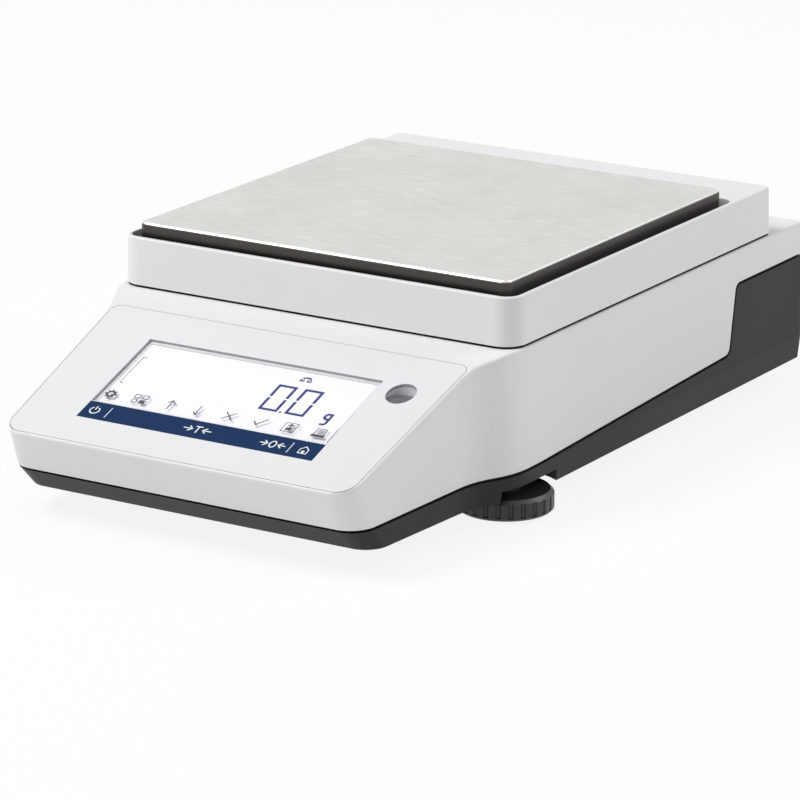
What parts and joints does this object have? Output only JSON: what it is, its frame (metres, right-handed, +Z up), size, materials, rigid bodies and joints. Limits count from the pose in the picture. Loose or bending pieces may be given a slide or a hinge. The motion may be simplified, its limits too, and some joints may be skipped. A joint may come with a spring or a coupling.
{
  "type": "top-loading balance",
  "caption": "Top-loading laboratory balance with a square steel pan in a white surround, a sloping touch console, a bubble level, a charcoal base and fluted levelling feet.",
  "frame": {"origin": "on the bench, at the middle of the footprint", "axes": "+X to the right of the user who faces the display, +Y to the back, +Z up"},
  "size_m": [0.2088, 0.35, 0.099],
  "materials": {
    "white_plastic": "fine grained moulded ABS, white",
    "charcoal_plastic": "fine grained moulded ABS, charcoal",
    "overlay_film": "satin white polycarbonate front plate",
    "key_film": "satin dark blue polycarbonate",
    "clear_window": "clear hard-coated acrylic",
    "display_cell": "liquid crystal cell glass",
    "backlight_plastic": "white moulded polycarbonate",
    "circuit_board": "green solder mask",
    "cable_jacket": "grey PVC",
    "clear_vial": "clear moulded acrylic",
    "level_liquid": "pale liquid",
    "stainless_sheet": "satin stainless sheet",
    "cast_metal": "die-cast aluminium, blasted",
    "milled_aluminium": "milled aluminium",
    "foil_gauge": "polyimide foil",
    "zinc_steel": "zinc-plated steel",
    "turned_brass": "turned brass",
    "black_rubber": "moulded rubber",
    "socket_plastic": "black moulded PBT",
    "socket_metal": "tinned steel shell",
    "wheel_plastic": "moulded charcoal nylon"
  },
  "bodies": {
    "chassis": {"top_cover": "white_plastic", "cover_screws": "zinc_steel", "main_housing": "white_plastic", "base_tub": "charcoal_plastic", "housing_screws": "zinc_steel", "keypad_overlay": "overlay_film", "touch_strip": "key_film", "display_window": "clear_window", "display_glass": "display_cell", "display_frame": "backlight_plastic", "display_board": "circuit_board", "display_screws": "zinc_steel", "level_cup": "clear_vial", "level_fluid": "level_liquid", "cell_plate": "milled_aluminium", "plate_screws": "zinc_steel", "cell_spacer": "milled_aluminium", "load_cell": "milled_aluminium", "cell_screws": "zinc_steel", "strain_gauges": "foil_gauge", "hook_eye": "zinc_steel", "hook_pivot": "zinc_steel", "cell_carrier": "cast_metal", "carrier_screws": "zinc_steel", "overload_stops": "zinc_steel", "main_board": "circuit_board", "board_screws": "zinc_steel", "display_cable": "cable_jacket", "cell_cable": "cable_jacket", "power_socket": "socket_plastic", "serial_socket": "socket_metal", "usb_socket": "socket_metal", "right_foot_insert": "turned_brass", "right_rear_foot": "black_rubber", "left_foot_insert": "turned_brass", "left_rear_foot": "black_rubber"},
    "pan_support": {"pan_support": "cast_metal", "pan_buffers": "black_rubber"},
    "weighing_pan": {"weighing_pan": "stainless_sheet"},
    "hook_cover": {"hook_cover": "charcoal_plastic"},
    "right_foot_pad": {"right_foot_pad": "black_rubber"},
    "right_foot_wheel": {"right_foot_wheel": "wheel_plastic"},
    "left_foot_pad": {"left_foot_pad": "black_rubber"},
    "left_foot_wheel": {"left_foot_wheel": "wheel_plastic"}
  },
  "joints": [
    {"name": "pan_support_lift", "type": "slide", "parent": "chassis", "child": "pan_support", "axis": [0, 0, 1], "range_m": [0, 0.06]},
    {"name": "pan_lift", "type": "slide", "parent": "pan_support", "child": "weighing_pan", "axis": [0, 0, 1], "range_m": [0, 0.06]},
    {"name": "hook_cover_turn", "type": "hinge", "parent": "chassis", "child": "hook_cover", "pos_m": [0.022, 0.0698, 0.009], "axis": [0, 0, 1], "range_deg": [0, 90]},
    {"name": "right_foot_height", "type": "slide", "parent": "chassis", "child": "right_foot_pad", "axis": [0, 0, 1], "range_m": [-0.005, 0.004]},
    {"name": "right_foot_turn", "type": "hinge", "parent": "right_foot_pad", "child": "right_foot_wheel", "pos_m": [0.0845, -0.0594, 0.005], "axis": [0, 0, 1], "range_deg": [-1440, 1152]},
    {"name": "left_foot_height", "type": "slide", "parent": "chassis", "child": "left_foot_pad", "axis": [0, 0, 1], "range_m": [-0.005, 0.004]},
    {"name": "left_foot_turn", "type": "hinge", "parent": "left_foot_pad", "child": "left_foot_wheel", "pos_m": [-0.0845, -0.0594, 0.005], "axis": [0, 0, 1], "range_deg": [-1440, 1152]}
  ],
  "couplings": [
    {"joint": "right_foot_height", "follows": "right_foot_turn", "m_per_rad": 0.00019894},
    {"joint": "left_foot_height", "follows": "left_foot_turn", "m_per_rad": 0.00019894}
  ]
}
